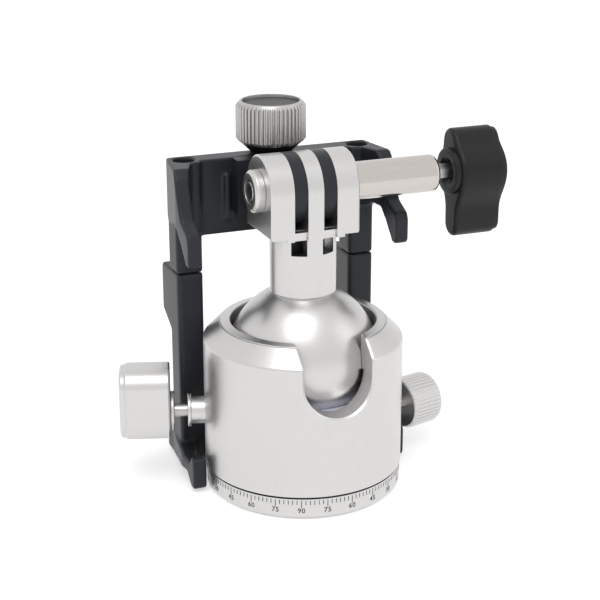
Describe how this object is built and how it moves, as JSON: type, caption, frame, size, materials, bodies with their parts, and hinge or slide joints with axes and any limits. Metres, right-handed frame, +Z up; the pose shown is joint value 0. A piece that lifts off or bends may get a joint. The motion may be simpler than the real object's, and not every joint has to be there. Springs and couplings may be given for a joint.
{
  "type": "tripod ball head",
  "caption": "Ball head for a tripod: degree-ring pan base, side lock knobs, drop notch, finned action mount on a winged thumbscrew, and a sprung phone clamp folded down behind it.",
  "frame": {"origin": "centre of the tripod socket's mouth, in the plane of the base ring's underside", "axes": "+Z up along the pan axis; +X along the fin pin towards its wing knob; the drop notch faces -Y and the phone clamp hangs on the +Y side"},
  "size_m": [0.0832, 0.0474, 0.0794],
  "materials": {
    "satin_alloy": "satin anodised, pale silver",
    "bright_sleeve": "polished, brighter than the body",
    "dark_alloy": "charcoal satin coat",
    "black_plastic": "fine matte black",
    "white_plastic": "smooth white acetal",
    "steel": "plain zinc-plated",
    "brass": "plain turned brass"
  },
  "bodies": {
    "base": {"base_plate": "satin_alloy", "degree_ring": "satin_alloy", "pan_washer": "black_plastic", "retaining_clip": "steel"},
    "housing": {"housing": "satin_alloy", "top_ring": "satin_alloy", "ball_cup": "white_plastic", "main_bush": "satin_alloy", "pan_bush": "satin_alloy", "brake_shoe": "brass"},
    "main_lock": {"main_knob": "satin_alloy", "main_collar": "satin_alloy", "main_screw": "steel"},
    "pan_lock": {"pan_knob": "satin_alloy", "pan_screw": "steel"},
    "ball": {"ball": "satin_alloy", "fin_block": "satin_alloy", "stem_screw": "steel", "pin_nut": "satin_alloy"},
    "thumbscrew": {"pin_bolt": "steel", "pin_sleeve": "bright_sleeve", "knob_stub": "steel", "wing_knob": "black_plastic"},
    "upper_jaw": {"upper_jaw": "dark_alloy", "prong_adapter": "dark_alloy", "guide_rods": "steel", "rod_screws": "steel", "jaw_springs": "steel"},
    "clamp_lock": {"clamp_knob": "satin_alloy", "knob_cap": "black_plastic", "knob_flange": "black_plastic", "clamp_screw": "steel"},
    "lower_jaw": {"lower_frame": "dark_alloy"}
  },
  "joints": [
    {"name": "pan", "type": "hinge", "parent": "base", "child": "housing", "pos_m": [0, 0, 0], "axis": [0, 0, 1], "continuous": true},
    {"name": "ball_tilt", "type": "hinge", "parent": "housing", "child": "ball", "pos_m": [0, 0, 0.0286], "axis": [1, 0, 0], "range_deg": [0, 87]},
    {"name": "main_knob_turn", "type": "hinge", "parent": "housing", "child": "main_lock", "pos_m": [0, 0, 0.0165], "axis": [-0.9527, 0.304, 0], "range_deg": [-180, 180]},
    {"name": "pan_knob_turn", "type": "hinge", "parent": "housing", "child": "pan_lock", "pos_m": [0, 0, 0.0104], "axis": [0.9681, 0.2504, 0], "range_deg": [-180, 180]},
    {"name": "thumbscrew_turn", "type": "hinge", "parent": "ball", "child": "thumbscrew", "pos_m": [0, 0, 0.0652], "axis": [1, 0, 0], "range_deg": [-180, 180]},
    {"name": "clamp_fold", "type": "hinge", "parent": "ball", "child": "upper_jaw", "pos_m": [0, 0, 0.0652], "axis": [1, 0, 0], "range_deg": [0, 180]},
    {"name": "clamp_knob_turn", "type": "hinge", "parent": "upper_jaw", "child": "clamp_lock", "pos_m": [0, 0.0183, 0.0684], "axis": [0, 0, 1], "range_deg": [-180, 180]},
    {"name": "jaw_slide", "type": "slide", "parent": "upper_jaw", "child": "lower_jaw", "axis": [0, 0, -1], "range_m": [0, 0.024], "stiffness_N_per_m": 60, "springref_m": -0.012, "deforming": ["jaw_springs"]}
  ]
}
